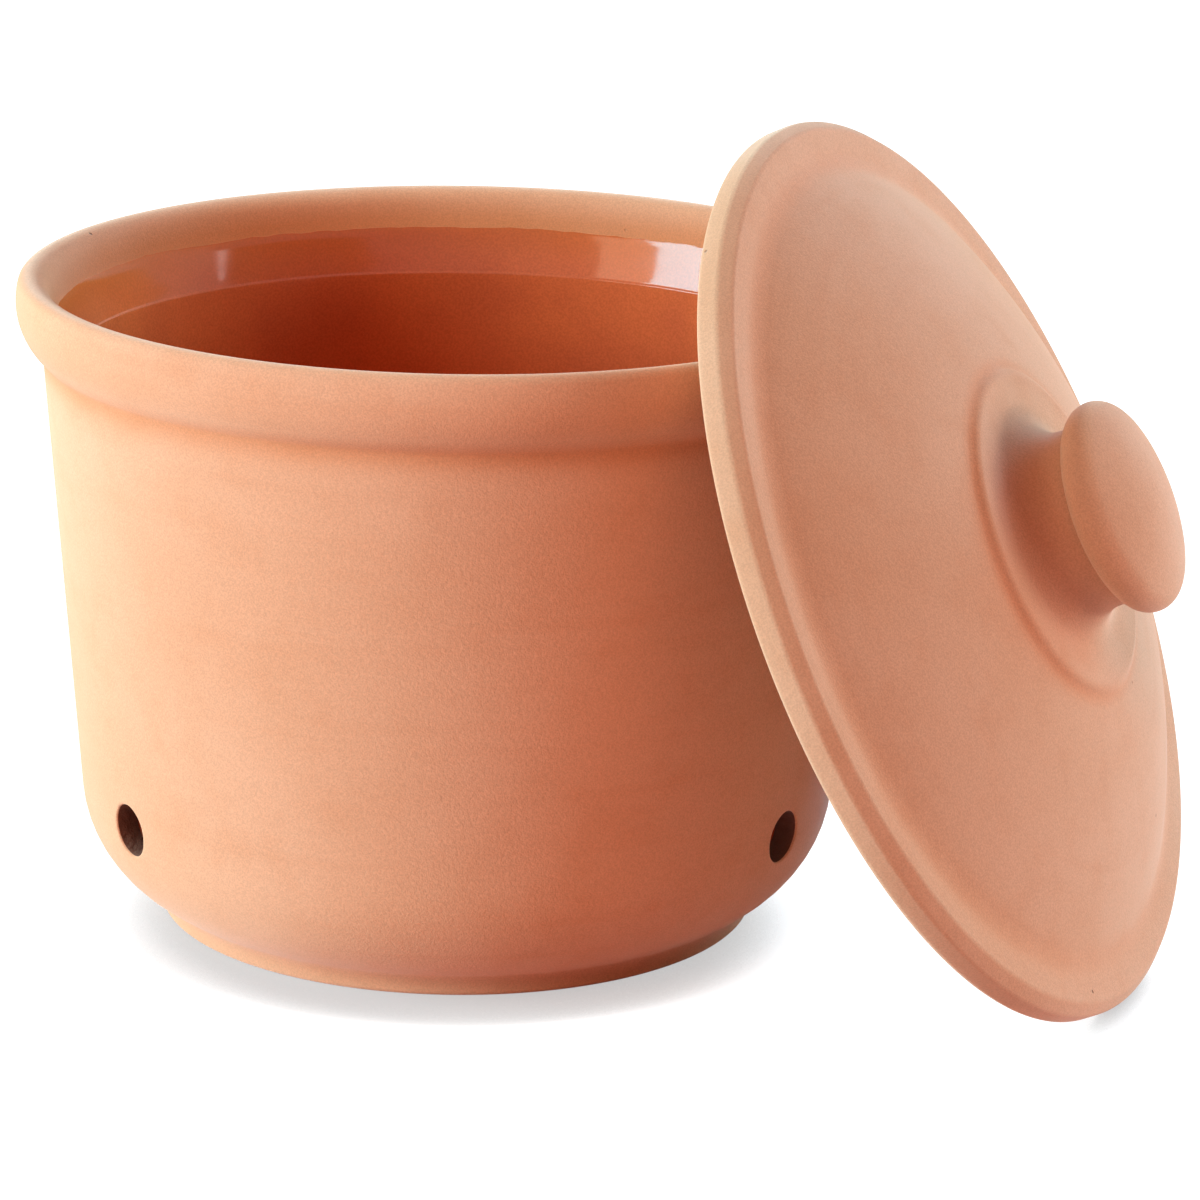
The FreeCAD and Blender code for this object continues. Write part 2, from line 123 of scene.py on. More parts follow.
def turn_on_wheel(clay):
    """Turn the half section a full turn, from the front round to the right, and weld it."""
    bmesh.ops.rotate(clay, verts=clay.verts[:], matrix=Matrix.Rotation(-pi / 2, 3, "Z"))
    bmesh.ops.spin(clay, geom=clay.verts[:] + clay.edges[:], axis=(0, 0, 1), angle=2 * pi,
                   steps=POINTS_ROUND, use_merge=True)
    bmesh.ops.remove_doubles(clay, verts=clay.verts[:], dist=0.001)
    bmesh.ops.recalc_face_normals(clay, faces=clay.faces[:])


def mark_painted_shade(clay, shaded_places):
    """Mark how near each point of the half section is to a crease or the glaze's edge, for painted shade
    there.
    """
    painted_shade = clay.verts.layers.float["painted_shade"]
    for point in clay.verts:
        for place, reach, strength in shaded_places:
            away = hypot(point.co.x - place[0], point.co.z - place[1]) / reach
            point[painted_shade] = max(point[painted_shade], strength * exp(-away * away))


# the outside, from the foot ring's inner edge up to the rim's crest
under_centre = (RIM_RADIUS - RIM_LOWER_CURVE, RIM_SWELL_HEIGHT)
under_angle = -degrees(acos((NECK_RADIUS - under_centre[0]) / RIM_LOWER_CURVE))
under = polar(under_centre, RIM_LOWER_CURVE, under_angle)
wall_slope = degrees(atan2(NECK_RADIUS - BELLY_RADIUS, under[1] - BELLY_HEIGHT))
bottom_centre = polar((BELLY_RADIUS, BELLY_HEIGHT), BOTTOM_CURVE, 180 - wall_slope)
waist_angle = -degrees(acos((FOOT_RADIUS - bottom_centre[0]) / BOTTOM_CURVE))
waist = polar(bottom_centre, BOTTOM_CURVE, waist_angle)
upper_centre = (RIM_RADIUS - RIM_UPPER_CURVE, RIM_SWELL_HEIGHT)
crest_centre = (upper_centre[0] + sqrt((RIM_UPPER_CURVE - RIM_CREST_CURVE) ** 2
                                       - (POT_HEIGHT - RIM_CREST_CURVE - RIM_SWELL_HEIGHT) ** 2),
                POT_HEIGHT - RIM_CREST_CURVE)
crest_angle = degrees(atan2(crest_centre[1] - upper_centre[1], crest_centre[0] - upper_centre[0]))

# the inside, from the lip down the widening mouth, over the ledge and into the bowl
mouth_top = LEDGE_RADIUS + MOUTH_FLARE
mouth_lean = atan2(MOUTH_FLARE, POT_HEIGHT - LEDGE_HEIGHT)
lip_curve = (crest_centre[0] - mouth_top) / (cos(mouth_lean) - (1 - sin(mouth_lean)) * tan(mouth_lean))
lip_centre = (crest_centre[0], POT_HEIGHT - lip_curve)
lip_sweep = 90 - degrees(mouth_lean)
line_radius = LEDGE_RADIUS + (GLAZE_LINE_HEIGHT - LEDGE_HEIGHT) * tan(mouth_lean)
shelf = (LEDGE_RADIUS - LEDGE_WIDTH - GLAZE_THICKNESS, LEDGE_HEIGHT - LEDGE_DROP)
floor_top = FLOOR_HEIGHT + GLAZE_THICKNESS
bowl_centre = (shelf[0] - (shelf[1] - floor_top - INNER_BOTTOM_CURVE) * tan(radians(wall_slope))
               - INNER_BOTTOM_CURVE / cos(radians(wall_slope)), floor_top + INNER_BOTTOM_CURVE)
bowl_side = polar(bowl_centre, INNER_BOTTOM_CURVE, -wall_slope)

pot_clay = bmesh.new()
glazed = pot_clay.verts.layers.float.new("glazed")
pot_clay.verts.layers.float.new("painted_shade")
middle = pot_clay.verts.new((0, 0, FOOT_RECESS))
recess_corner = draw_straight(pot_clay, middle, (FOOT_RING_RADIUS, FOOT_RECESS), 8)
ring_inner_edge = draw_straight(pot_clay, recess_corner, (FOOT_RING_RADIUS, 0))
ring_outer_edge = draw_straight(pot_clay, ring_inner_edge, (FOOT_RADIUS, 0), 2)
foot_waist = draw_straight(pot_clay, ring_outer_edge, waist)
belly = draw_curve(pot_clay, foot_waist, bottom_centre, -wall_slope - waist_angle, 10)
neck = draw_straight(pot_clay, belly, under, 44)
swell = draw_curve(pot_clay, neck, under_centre, -under_angle, 12)
shoulder = draw_curve(pot_clay, swell, upper_centre, crest_angle, 9)
crest = draw_curve(pot_clay, shoulder, crest_centre, 90 - crest_angle, 6)
lip = draw_curve(pot_clay, crest, lip_centre, lip_sweep, 8)
glaze_line = draw_straight(pot_clay, lip, (line_radius, GLAZE_LINE_HEIGHT), 3)
glaze_edge = draw_straight(pot_clay, glaze_line, (
    line_radius - GLAZE_THICKNESS, GLAZE_LINE_HEIGHT - GLAZE_LIP))
glaze_edge[glazed] = 1
ledge = draw_straight(pot_clay, glaze_edge, (LEDGE_RADIUS - GLAZE_THICKNESS, LEDGE_HEIGHT), 5)
ledge_foot = draw_straight(pot_clay, ledge, shelf)
bowl_wall = draw_straight(pot_clay, ledge_foot, bowl_side, 44)
bowl_floor = draw_curve(pot_clay, bowl_wall, bowl_centre, wall_slope - 90, 18)
draw_straight(pot_clay, bowl_floor, (0, floor_top), 8)

for corner, reach in (
        (neck, NECK_ROUND), (foot_waist, FOOT_WAIST_ROUND), (ring_outer_edge, FOOT_EDGE_ROUND),
        (ring_inner_edge, FOOT_EDGE_ROUND), (ledge, LEDGE_ROUND), (ledge_foot, LEDGE_ROUND)):
    soften(pot_clay, corner, reach)
# painted shade, darker and redder, under the rim, at the foot's waist and at the glaze's edge: the place,
# its reach in millimetres and its strength
mark_painted_shade(pot_clay, (
    (under, 3.0, 0.75), (waist, 3.0, 0.25), ((line_radius, GLAZE_LINE_HEIGHT), 5.0, 1.0)))
turn_on_wheel(pot_clay)


def wave_glaze_line(clay):
    """Let the glaze's edge wander a little up and down the mouth."""
    for point in clay.verts:
        level = GLAZE_LINE_HEIGHT - GLAZE_LIP - 0.1 < point.co.z < GLAZE_LINE_HEIGHT + 0.1
        if level and point.co.xy.length < line_radius + 0.5:
            slow = noise.noise(Vector((point.co.x, point.co.y, 0)) * 0.06)
            quick = noise.noise(Vector((point.co.x, point.co.y, 9)) * 0.33)
            rise = GLAZE_WAVE * (1.6 * slow + quick)
            point.co.z += rise
            point.co.xy *= 1 + rise * tan(mouth_lean) / line_radius


def lay_collar(clay, skin, way, radius, count, outwards):
    """Lay a ring of points on the wall round a vent; the way points out of the pot."""
    across = Matrix.Translation((0, 0, VENT_HEIGHT)) @ way.to_track_quat("Z", "Y").to_matrix().to_4x4()
    ring = bmesh.ops.create_circle(clay, segments=count, radius=radius, matrix=across)["verts"]
    for point in ring:
        start = point.co + way * (2 * RIM_RADIUS if outwards else 0)
        point.co = skin.ray_cast(start, -way if outwards else way)[0]
    return ring


def edges_of(points):
    """The edges that join a loop of points."""
    chosen = set(points)
    return list({edge for point in points for edge in point.link_edges if edge.other_vert(point) in chosen})


def wall_block(clay, way, outwards):
    """The faces of the wall's outside or inside in a block round a vent's place."""
    wall_middle = (bowl_side[0] + BELLY_RADIUS) / 2
    block = []
    for face in clay.faces:
        centre = face.calc_center_median()
        along = centre.dot(way)
        sideways = (centre.xy - way.xy * along).length
        near = along > 0 and max(sideways, abs(centre.z - VENT_HEIGHT)) < VENT_BLOCK_HALF
        facing = face.normal.dot(way) * (1 if outwards else -1) > 0.5
        if near and facing and (centre.xy.length > wall_middle) == outwards:
            block.append(face)
    return block


def punch_vent(clay, turn):
    """Punch one round vent through the wall, at an angle round the pot from the front."""
    way = Vector((sin(radians(turn)), -cos(radians(turn)), 0))
    skin = BVHTree.FromBMesh(clay)
    last_rings = []
    for outwards in (True, False):
        bmesh.ops.delete(clay, geom=wall_block(clay, way, outwards), context="FACES")
        rim = [edge for edge in clay.edges if edge.is_boundary]
        count = len(rim)
        for radius in VENT_COLLARS + (VENT_RADIUS,):
            ring = lay_collar(clay, skin, way, radius, count, outwards)
            for point in ring:
                point[glazed] = 0 if outwards else 1
            bmesh.ops.bridge_loops(clay, edges=rim + edges_of(ring))
            rim = edges_of(ring)
        last_rings.append(ring)
        # a closed lid of faces keeps this end from counting as open while the other is cut
        if outwards:
            cover = bmesh.ops.contextual_create(clay, geom=rim)["faces"]
    bmesh.ops.delete(clay, geom=cover, context="FACES_ONLY")
    ends = [edges_of(ring) for ring in last_rings]
    bmesh.ops.bridge_loops(clay, edges=ends[0] + ends[1])
    bmesh.ops.bevel(clay, geom=ends[0] + ends[1], offset=VENT_EDGE_ROUND, offset_type="OFFSET",
                    segments=3, profile=0.5, affect="EDGES", clamp_overlap=False, material=-1)
    for face in clay.faces:
        centre = face.calc_center_median()
        along = centre.dot(way)
        if along > 0 and (centre - way * along - Vector((0, 0, VENT_HEIGHT))).length < VENT_RADIUS:
            face.material_index = 2


wave_glaze_line(pot_clay)
for columns in VENT_TURNS:
    punch_vent(pot_clay, columns * 360 / POINTS_ROUND)
bmesh.ops.recalc_face_normals(pot_clay, faces=pot_clay.faces[:])
for face in pot_clay.faces:
    if all(point[glazed] > 0.5 for point in face.verts):
        face.material_index = 1


def fire(clay, name, materials):
    """Turn finished clay, drawn in millimetres, into a piece in metres."""
    bmesh.ops.scale(clay, verts=clay.verts[:], vec=(MM, MM, MM))
    for face in clay.faces:
        face.smooth = True
    mesh = bpy.data.meshes.new(name)
    clay.to_mesh(mesh)
    clay.free()
    for material in materials:
        mesh.materials.append(material)
    piece = bpy.data.objects.new(name, mesh)
    bpy.context.collection.objects.link(piece)
    return piece


def add_node(tree, kind, inputs=(), **settings):
    """Add a shader node; an input is a value, or the socket that feeds it."""
    node = tree.nodes.new(kind)
    for name, value in settings.items():
        setattr(node, name, value)
    for socket, value in dict(inputs).items():
        if isinstance(value, bpy.types.NodeSocket):
            tree.links.new(value, node.inputs[socket])
        else:
            node.inputs[socket].default_value = value
    return node


def blend_colour(tree, amount, first, second, how="MIX"):
    """Mix two colours by an amount; each may be a socket or a value."""
    node = add_node(tree, "ShaderNodeMix", data_type="RGBA", blend_type=how)
    for socket, value in ((0, amount), (6, first), (7, second)):
        if isinstance(value, bpy.types.NodeSocket):
            tree.links.new(value, node.inputs[socket])
        else:
            node.inputs[socket].default_value = value
    return node.outputs[2]


def calculate(tree, how, first, second=0.0):
    return add_node(tree, "ShaderNodeMath", {0: first, 1: second}, operation=how).outputs[0]


def spread(tree, value, low, high, to_low=0.0, to_high=1.0):
    """Map a value from one range onto another, smoothly and clamped."""
    node = add_node(tree, "ShaderNodeMapRange", {
        "Value": value, "From Min": low, "From Max": high, "To Min": to_low, "To Max": to_high},
        interpolation_type="SMOOTHSTEP")
    return node.outputs[0]


def grain(tree, place, scale, detail=2.0, roughness=0.5, distortion=0.0):
    """Cloudy noise on the clay's own coordinates; a scale of 1000 has forms of about a millimetre."""
    return add_node(tree, "ShaderNodeTexNoise", {
        "Vector": place, "Scale": scale, "Detail": detail, "Roughness": roughness,
        "Distortion": distortion}).outputs["Fac"]


def rough_surface(tree, layers):
    """Relief made of layers of noise, each given with its height in millimetres."""
    relief = 0.0
    for layer, height in layers:
        relief = calculate(tree, "ADD", calculate(tree, "MULTIPLY", layer, height), relief)
    return add_node(tree, "ShaderNodeBump", {
        "Height": relief, "Strength": 1.0, "Distance": MM}).outputs[0]


POT_TONES = ((0.665, 0.338, 0.198, 1), (0.695, 0.380, 0.238, 1), (0.630, 0.292, 0.158, 1))
PAINTED_SHADE_TONE = (0.600, 0.195, 0.062, 1)
PINHOLE_SHADE = (0.140, 0.055, 0.030, 1)
RINGS_PER_METRE = 260.0
PITTED_CELLS = 0.955


def bare_clay(name, tones, centre=(0, 0, 0), lean=(0, 0, 0)):
    """Unglazed terracotta in a plain, a pale and a red tone: chalky and grained, ringed by the wheel."""
    plain, pale, red = tones
    material = bpy.data.materials.new(name)
    material.use_nodes = True
    tree = material.node_tree
    shader = tree.nodes["Principled BSDF"]
    place = add_node(tree, "ShaderNodeMapping", {
        "Vector": add_node(tree, "ShaderNodeTexCoord").outputs["Object"],
        "Location": centre, "Rotation": lean}, vector_type="TEXTURE").outputs[0]

    # the wheel's rings: noise that changes quickly with height and radius and slowly round the pot
    parts = add_node(tree, "ShaderNodeSeparateXYZ", {0: place})
    flat = add_node(tree, "ShaderNodeCombineXYZ", {0: parts.outputs[0], 1: parts.outputs[1]}).outputs[0]
    radius = add_node(tree, "ShaderNodeVectorMath", {0: flat}, operation="LENGTH").outputs["Value"]
    round_way = add_node(tree, "ShaderNodeVectorMath", {0: flat}, operation="NORMALIZE").outputs[0]
    heights = add_node(tree, "ShaderNodeCombineXYZ", {
        2: calculate(tree, "MULTIPLY", parts.outputs[2], RINGS_PER_METRE)}).outputs[0]
    ring_place = add_node(tree, "ShaderNodeVectorMath", {
        0: round_way, 1: heights}, operation="ADD").outputs[0]
    rings = add_node(tree, "ShaderNodeTexNoise", {
        "Vector": ring_place, "W": calculate(tree, "MULTIPLY", radius, RINGS_PER_METRE),
        "Scale": 1.0, "Detail": 4.0, "Roughness": 0.6}, noise_dimensions="4D").outputs["Fac"]

    # slanting strokes left by the sponge
    strokes_place = add_node(tree, "ShaderNodeMapping", {
        "Vector": place, "Rotation": (0, radians(24), 0), "Scale": (40, 40, 420)}).outputs[0]
    strokes = grain(tree, strokes_place, 1.0, 3.0, 0.65)

    clouds = grain(tree, place, 16.0, 3.0, 0.55, 0.4)
    mottle = grain(tree, place, 90.0, 4.0, 0.6)
    sand = grain(tree, place, 1500.0, 2.0, 0.7)
    dust = grain(tree, place, 3400.0, 1.0, 0.5)

    colour = blend_colour(tree, spread(tree, clouds, 0.30, 0.75), plain, pale)
    colour = blend_colour(tree, spread(tree, mottle, 0.45, 0.75, 0.0, 0.30), colour, red)
    colour = blend_colour(tree, spread(tree, strokes, 0.50, 0.75, 0.0, 0.22), colour, pale)
    colour = blend_colour(tree, spread(tree, rings, 0.50, 0.72, 0.0, 0.22), colour, red)
    # painted shade: the clay turns darker and redder in the creases and round the glaze's edge
    painted_shade = add_node(tree, "ShaderNodeAttribute", attribute_name="painted_shade").outputs["Fac"]
    colour = blend_colour(tree, calculate(tree, "MULTIPLY", painted_shade, 0.8), colour, PAINTED_SHADE_TONE)
    colour = blend_colour(tree, 0.55, colour, add_node(tree, "ShaderNodeHueSaturation", {
        "Color": colour, "Value": spread(tree, dust, 0.25, 0.75, 0.84, 1.16)}).outputs[0])

    # sparse pinholes: cells that a second noise picks out, dented, with painted shade darkening them
    cells = add_node(tree, "ShaderNodeTexVoronoi", {"Vector": place, "Scale": 170.0, "Randomness": 1.0})
    picked = calculate(tree, "GREATER_THAN", add_node(tree, "ShaderNodeSeparateColor", {
        0: cells.outputs["Color"]}).outputs[0], PITTED_CELLS)
    near = spread(tree, cells.outputs["Distance"], 0.03, 0.075, 1.0, 0.0)
    pits = calculate(tree, "MULTIPLY", picked, near)
    colour = blend_colour(tree, calculate(tree, "MULTIPLY", pits, 0.75), colour, PINHOLE_SHADE)
    tree.links.new(colour, shader.inputs["Base Color"])
    tree.links.new(spread(tree, mottle, 0.3, 0.7, 0.74, 0.92), shader.inputs["Roughness"])

    tree.links.new(rough_surface(tree, (
        (sand, 0.055), (dust, 0.03), (rings, 0.035), (strokes, 0.02), (pits, -0.25))),
        shader.inputs["Normal"])
    shader.inputs["Diffuse Roughness"].default_value = 0.8
    shader.inputs["Specular IOR Level"].default_value = 0.2
    shader.inputs["Sheen Weight"].default_value = 0.2
    shader.inputs["Sheen Roughness"].default_value = 0.45
    shader.inputs["Sheen Tint"].default_value = (1.0, 0.90, 0.84, 1)
    return material


GLAZED_CLAY = (0.560, 0.112, 0.034, 1)
GLAZED_CLAY_DEEP = (0.440, 0.078, 0.028, 1)
GLAZED_PAINTED_SHADE_TONE = (0.450, 0.085, 0.018, 1)


def clear_glaze(name):
    """Clear glaze over the red body: deeper in colour, glassy, with the ripple of poured glaze."""
    material = bpy.data.materials.new(name)
    material.use_nodes = True
    tree = material.node_tree
    shader = tree.nodes["Principled BSDF"]
    place = add_node(tree, "ShaderNodeTexCoord").outputs["Object"]
    clouds = grain(tree, place, 22.0, 3.0, 0.5)
    mottle = grain(tree, place, 160.0, 3.0, 0.6)
    dust = grain(tree, place, 2600.0, 1.0, 0.5)
    colour = blend_colour(tree, spread(tree, clouds, 0.35, 0.7), GLAZED_CLAY, GLAZED_CLAY_DEEP)
    colour = blend_colour(tree, spread(tree, mottle, 0.45, 0.8, 0.0, 0.35), colour, GLAZED_CLAY_DEEP)
    # painted shade: the glaze turns darker just below its edge
    painted_shade = add_node(tree, "ShaderNodeAttribute", attribute_name="painted_shade").outputs["Fac"]
    colour = blend_colour(tree, painted_shade, colour, GLAZED_PAINTED_SHADE_TONE)
    colour = add_node(tree, "ShaderNodeHueSaturation", {
        "Color": colour, "Value": spread(tree, dust, 0.25, 0.75, 0.9, 1.1)}).outputs[0]
    tree.links.new(colour, shader.inputs["Base Color"])
    tree.links.new(spread(tree, mottle, 0.3, 0.7, 0.06, 0.15), shader.inputs["Roughness"])
    ripple = grain(tree, place, 70.0, 2.0, 0.5)
    orange_peel = grain(tree, place, 420.0, 2.0, 0.5)
    tree.links.new(rough_surface(tree, ((ripple, 0.12), (orange_peel, 0.012))), shader.inputs["Normal"])
    shader.inputs["IOR"].default_value = 1.45
    shader.inputs["Specular IOR Level"].default_value = 0.3
    return material


BORE_SHADE_DEEP, BORE_SHADE_PALE = (0.085, 0.028, 0.014, 1), (0.170, 0.065, 0.038, 1)


def bore_with_painted_shade(name):
    """The bore of a vent: rough clay, dark with painted shade for the inside of the hole."""
    material = bpy.data.materials.new(name)
    material.use_nodes = True
    tree = material.node_tree
    shader = tree.nodes["Principled BSDF"]
    place = add_node(tree, "ShaderNodeTexCoord").outputs["Object"]
    bore_mottle = grain(tree, place, 900.0, 3.0, 0.6)
    tree.links.new(blend_colour(tree, bore_mottle, BORE_SHADE_DEEP, BORE_SHADE_PALE), shader.inputs["Base Color"])
    tree.links.new(rough_surface(tree, ((bore_mottle, 0.4),)), shader.inputs["Normal"])
    shader.inputs["Roughness"].default_value = 0.95
    return material


pot = fire(pot_clay, "glazed_pot", (
    bare_clay("pot_terracotta", POT_TONES), clear_glaze("bowl_glaze"), bore_with_painted_shade("vent_bore")))
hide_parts("pot")
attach(pot, "pot")


# ---------------------------------------------------------------------------------------
# Lid: the same earthenware, turned in one piece with its knob. It has a faceted brim, a
# low dome, a stepped collar under the neck, and a flange and a hollow underneath. It is
# off the pot, standing on its brim and leaning on the rim.
# ---------------------------------------------------------------------------------------
LID_RADIUS, DOME_RADIUS, BRIM_THICKNESS = 77.2, 68.7, 5.8
BRIM_FACET, BRIM_EDGE_ROUND, BRIM_LOWER_ROUND = 1.9, 0.5, 1.0
DOME_RISE, DOME_CURVE, DOME_FOOT_ROUND = 15.5, 102.3, 2.0
COLLAR_RADIUS, COLLAR_STEP, COLLAR_SLOPE, COLLAR_ROUND = 28.2, 1.1, 1.2, 0.7
NECK_COVE, KNOB_NECK_RADIUS, KNOB_STAND = 5.5, 15.0, 11.7
KNOB_RADIUS, KNOB_EDGE_CURVE, KNOB_CROWN = 17.9, 3.3, 6.1
LID_WALL, FLANGE_RADIUS, FLANGE_WIDTH, FLANGE_DEPTH, FLANGE_ROUND = 6.5, 66.2, 4.0, 4.0, 1.2
WELL_RADIUS, WELL_END_RADIUS, KNOB_ROOF = 11.0, 7.5, 10.4
KNOB_SEAM_ROUND, FLANGE_ROOT_ROUND, HOLLOW_ROUND = 0.3, 0.8, 2.0
LEAN_ANGLE, LEAN_DIRECTION = 64.6, -23.5

dome_height = BRIM_THICKNESS + DOME_RISE
collar_height = dome_height + COLLAR_STEP
knob_centre = (KNOB_RADIUS - KNOB_EDGE_CURVE, collar_height + KNOB_STAND)
knob_top = knob_centre[1] + KNOB_CROWN
crown_rise = KNOB_CROWN - KNOB_EDGE_CURVE
crown_drop = (knob_centre[0] ** 2 - crown_rise ** 2) / (2 * crown_rise)
crown_centre = (0, knob_centre[1] - crown_drop)
crown_angle = degrees(atan2(crown_drop, knob_centre[0]))
under_knob_angle = -degrees(acos((KNOB_NECK_RADIUS - knob_centre[0]) / KNOB_EDGE_CURVE))
cove_centre = (KNOB_NECK_RADIUS + NECK_COVE, collar_height + NECK_COVE)


def arc_centre(first, second, radius):
    """Centre of the arc through two places, on the side of the axis and the table."""
    half = Vector(second) / 2 - Vector(first) / 2
    reach = sqrt(radius ** 2 - half.length_squared) / half.length
    middle = Vector(first) + half
    sides = [middle + turn * reach * Vector((half.y, -half.x)) for turn in (1, -1)]
    return min(sides, key=lambda side: side.x + side.y)


def angle_about(place, centre):
    return degrees(atan2(place[1] - centre[1], place[0] - centre[0]))


dome_top, dome_foot = (COLLAR_RADIUS, dome_height), (DOME_RADIUS, BRIM_THICKNESS)
dome_centre = arc_centre(dome_top, dome_foot, DOME_CURVE)
dome_sweep = angle_about(dome_foot, dome_centre) - angle_about(dome_top, dome_centre)
hollow_curve = DOME_CURVE - LID_WALL
hollow_radius = FLANGE_RADIUS - FLANGE_WIDTH
hollow_foot, hollow_top = (
    polar(dome_centre, hollow_curve, degrees(acos((radius - dome_centre[0]) / hollow_curve)))
    for radius in (hollow_radius, WELL_RADIUS))
hollow_sweep = angle_about(hollow_top, dome_centre) - angle_about(hollow_foot, dome_centre)

lid_clay = bmesh.new()
lid_clay.verts.layers.float.new("painted_shade")
knob_crown = lid_clay.verts.new((0, 0, knob_top))
knob_shoulder = draw_curve(lid_clay, knob_crown, crown_centre, crown_angle - 90, 12)
knob_seam = draw_curve(lid_clay, knob_shoulder, knob_centre, under_knob_angle - crown_angle, 18)
neck_foot = draw_straight(lid_clay, knob_seam, (KNOB_NECK_RADIUS, cove_centre[1]), 5)
cove_end = draw_curve(lid_clay, neck_foot, cove_centre, 90, 12)
collar_edge = draw_straight(lid_clay, cove_end, (COLLAR_RADIUS - COLLAR_SLOPE, collar_height), 5)
collar_foot = draw_straight(lid_clay, collar_edge, dome_top)
dome_end = draw_curve(lid_clay, collar_foot, dome_centre, dome_sweep, 20)
facet_top = draw_straight(lid_clay, dome_end, (LID_RADIUS - BRIM_FACET, BRIM_THICKNESS), 2)
facet_foot = draw_straight(lid_clay, facet_top, (LID_RADIUS, BRIM_THICKNESS - BRIM_FACET), 2)
brim_corner = draw_straight(lid_clay, facet_foot, (LID_RADIUS, 0), 2)
flange_root = draw_straight(lid_clay, brim_corner, (FLANGE_RADIUS, 0), 3)
flange_outer = draw_straight(lid_clay, flange_root, (FLANGE_RADIUS, -FLANGE_DEPTH), 2)
flange_inner = draw_straight(lid_clay, flange_outer, (hollow_radius, -FLANGE_DEPTH), 2)
hollow_corner = draw_straight(lid_clay, flange_inner, hollow_foot, 3)
well_mouth = draw_curve(lid_clay, hollow_corner, dome_centre, hollow_sweep, 28)
well_corner = draw_straight(lid_clay, well_mouth, (WELL_END_RADIUS, knob_top - KNOB_ROOF), 6)
draw_straight(lid_clay, well_corner, (0, knob_top - KNOB_ROOF), 3)

for corner, reach in (
        (knob_seam, KNOB_SEAM_ROUND), (collar_edge, COLLAR_ROUND), (collar_foot, COLLAR_ROUND),
        (dome_end, DOME_FOOT_ROUND), (facet_top, BRIM_EDGE_ROUND), (facet_foot, BRIM_EDGE_ROUND),
        (brim_corner, BRIM_LOWER_ROUND), (flange_root, FLANGE_ROOT_ROUND), (flange_outer, FLANGE_ROUND),
        (flange_inner, FLANGE_ROUND), (hollow_corner, HOLLOW_ROUND), (well_mouth, HOLLOW_ROUND),
        (well_corner, HOLLOW_ROUND)):
    soften(lid_clay, corner, reach)
# painted shade at the foot of the collar and at the foot of the dome: the place, its reach in millimetres
# and its strength
mark_painted_shade(lid_clay, ((dome_top, 1.6, 0.4), (dome_foot, 2.5, 0.25)))
turn_on_wheel(lid_clay)

lean = Matrix.Rotation(radians(LEAN_DIRECTION), 4, "Z") @ Matrix.Rotation(radians(LEAN_ANGLE), 4, "Y")
bmesh.ops.transform(lid_clay, verts=lid_clay.verts[:], matrix=lean)
low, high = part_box("lid")
clay_low = Vector([min(point.co[axis] for point in lid_clay.verts) for axis in range(3)])
clay_high = Vector([max(point.co[axis] for point in lid_clay.verts) for axis in range(3)])
lid_seat = (low + high) / (2 * MM) - (clay_low + clay_high) / 2
bmesh.ops.translate(lid_clay, verts=lid_clay.verts[:], vec=lid_seat)

# the pot's clay with about a tenth less red, for how light falls on the lid: painted shade
LID_TONES_WITH_PAINTED_SHADE = ((0.595, 0.336, 0.204, 1), (0.625, 0.380, 0.250, 1), (0.565, 0.290, 0.166, 1))
lid = fire(lid_clay, "domed_lid", [bare_clay("lid_terracotta", LID_TONES_WITH_PAINTED_SHADE, lid_seat * MM, lean.to_euler())])
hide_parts("lid")
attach(lid, "lid")


# ---------------------------------------------------------------------------------------
# Studio: a white table that runs out to a white surround, and softboxes that the glaze
# in the mouth mirrors.
# ---------------------------------------------------------------------------------------
TABLE_HALF = 4.0
TABLE_BOUNCE = (0.72, 0.30, 0.26, 1)
TABLE_SHOWN = (0.16, 0.14, 0.135, 1)
TABLE_GLOW = 1.10
AMBIENT = 0.01
SHADOW_REACH = 0.014
SHADOW_SIDE = (0, 0.94, 0.34)
SHADOW_EDGE, SHADOW_CORE, SHADOW_DEPTH = 0.80, 0.40, 0.45

table_mesh = bmesh.new()
bmesh.ops.create_grid(table_mesh, x_segments=1, y_segments=1, size=TABLE_HALF)
table_data = bpy.data.meshes.new("white_table")
table_mesh.to_mesh(table_data)
table_mesh.free()
table = bpy.data.objects.new("white_table", table_data)
bpy.context.collection.objects.link(table)


def looked_at(tree):
    """1 for a look from the camera or from a mirroring or clear surface, 0 for light on the clay."""
    sight = add_node(tree, "ShaderNodeLightPath")
    seen = calculate(tree, "MAXIMUM", sight.outputs["Is Camera Ray"], sight.outputs["Is Glossy Ray"])
    return calculate(tree, "MAXIMUM", seen, sight.outputs["Is Transmission Ray"])


table_paper = bpy.data.materials.new("white_paper")
table_paper.use_nodes = True
paper_tree = table_paper.node_tree
paper_tree.nodes.clear()

# what looks at the table sees it glow white, and the clay gets only a dull bounce from it
plain = add_node(paper_tree, "ShaderNodeBsdfDiffuse", {"Color": TABLE_BOUNCE})
shown = add_node(paper_tree, "ShaderNodeBsdfDiffuse", {"Color": TABLE_SHOWN})

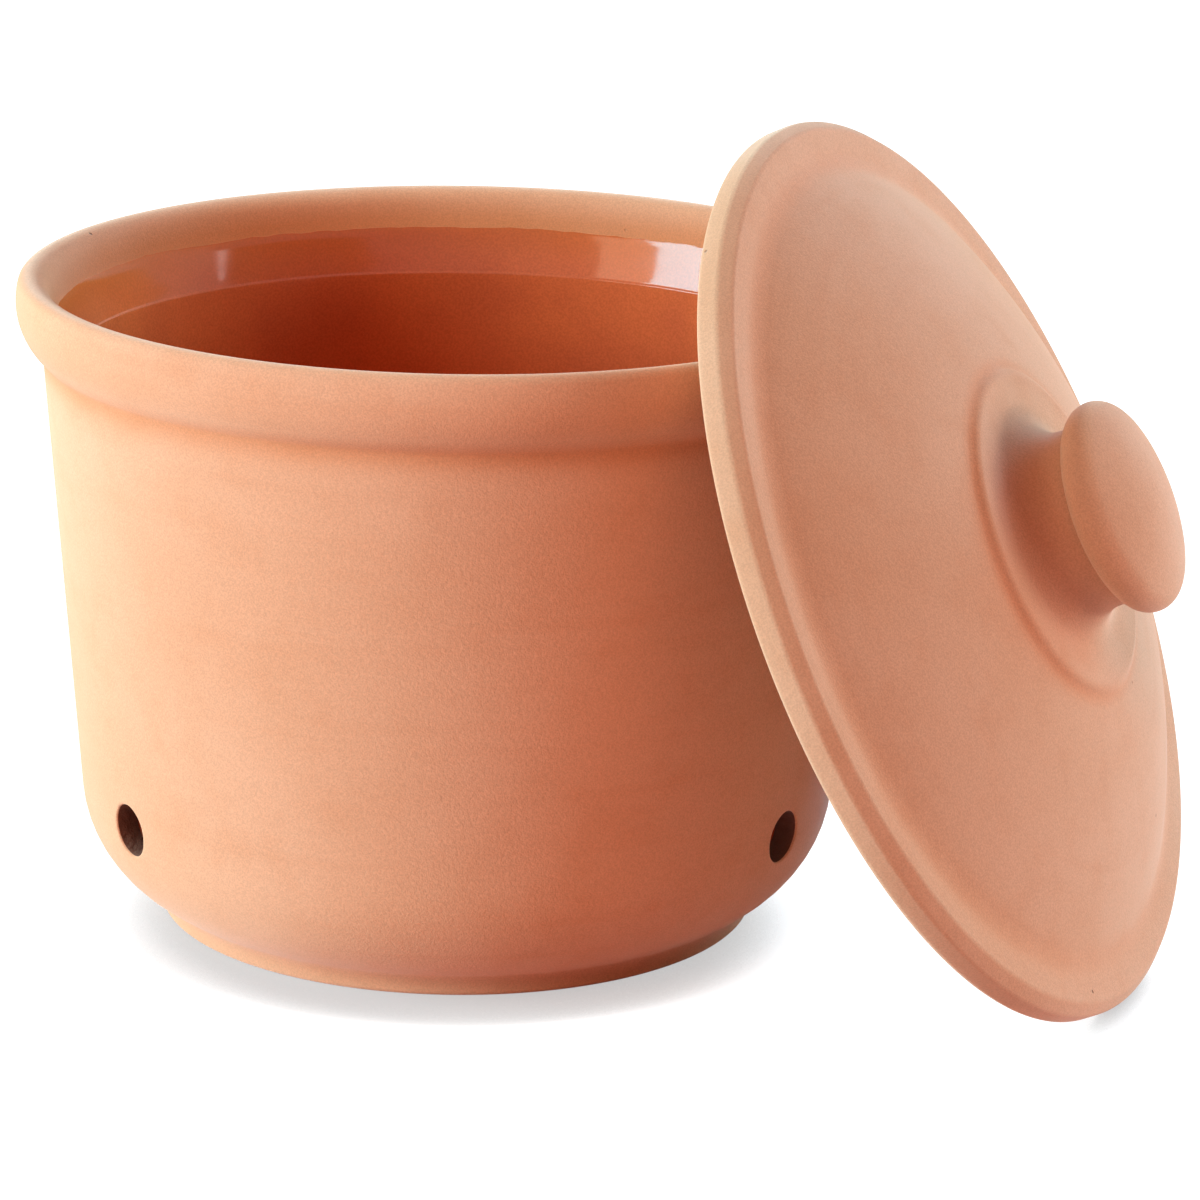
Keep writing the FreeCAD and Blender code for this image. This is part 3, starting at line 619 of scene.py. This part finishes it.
# the shadow where the pieces meet the table, deepest on the side that faces the camera
shadow_side = add_node(paper_tree, "ShaderNodeCombineXYZ", dict(enumerate(SHADOW_SIDE)))
contact = add_node(paper_tree, "ShaderNodeAmbientOcclusion", {
    "Distance": SHADOW_REACH, "Normal": shadow_side.outputs[0]}, samples=8)
glow = add_node(paper_tree, "ShaderNodeEmission", {"Strength": spread(
    paper_tree, contact.outputs["AO"], SHADOW_CORE, SHADOW_EDGE, TABLE_GLOW * SHADOW_DEPTH, TABLE_GLOW)})
shown_and_glow = add_node(paper_tree, "ShaderNodeAddShader", {0: shown.outputs[0], 1: glow.outputs[0]})
paper = add_node(paper_tree, "ShaderNodeMixShader", {
    0: looked_at(paper_tree), 1: plain.outputs[0], 2: shown_and_glow.outputs[0]})
add_node(paper_tree, "ShaderNodeOutputMaterial", {0: paper.outputs[0]})
table_data.materials.append(table_paper)

surround = bpy.data.worlds.new("white_surround")
bpy.context.scene.world = surround
surround.use_nodes = True
sky = surround.node_tree
sky.nodes.clear()
sky_strength = spread(sky, looked_at(sky), 0.0, 1.0, AMBIENT, 1.0)
sky_light = add_node(sky, "ShaderNodeBackground", {"Color": (1, 1, 1, 1), "Strength": sky_strength})
add_node(sky, "ShaderNodeOutputWorld", {0: sky_light.outputs[0]})


SOFTBOX_AWAY = 1.5
SOFTBOX_AIM = Vector((0, 0, 0.07))


def softbox(name, turn, rise, width, height, watts, colour, mirrored=False):
    """Hang a softbox round the pot from the front (turn) and up (rise), facing the mouth."""
    light = bpy.data.lights.new(name, "AREA")
    light.shape = "RECTANGLE"
    light.size, light.size_y = width, height
    light.energy = watts
    light.color = colour
    lamp = bpy.data.objects.new(name, light)
    way = Vector((sin(radians(turn)) * cos(radians(rise)), -cos(radians(turn)) * cos(radians(rise)),
                  sin(radians(rise))))
    lamp.location = way * SOFTBOX_AWAY + SOFTBOX_AIM
    lamp.rotation_euler = way.to_track_quat("Z", "Y").to_euler()
    lamp.visible_camera = False
    lamp.visible_glossy = mirrored
    bpy.context.collection.objects.link(lamp)


# turn and rise in degrees, width and height in metres, watts and colour
softbox("key_softbox", -76, 16, 0.75, 0.9, 56, (0.50, 0.90, 1.0), mirrored=True)
softbox("key_softbox_edge", -52, 16, 0.5, 0.9, 8, (1.0, 0.74, 0.50), mirrored=True)
softbox("right_strip", 68, 10, 0.6, 0.15, 5, (1.0, 0.85, 0.80), mirrored=True)
softbox("right_softbox", 93, 11, 0.7, 0.6, 17, (0.94, 1.0, 0.98))
softbox("back_right_softbox", 120, 22, 0.8, 0.8, 21, (0.30, 0.90, 1.0))
softbox("back_softbox", 150, 30, 0.8, 0.8, 30, (0.30, 0.65, 1.0))
softbox("front_fill", 0, 50, 1.0, 0.8, 8, (1.0, 0.35, 0.20))
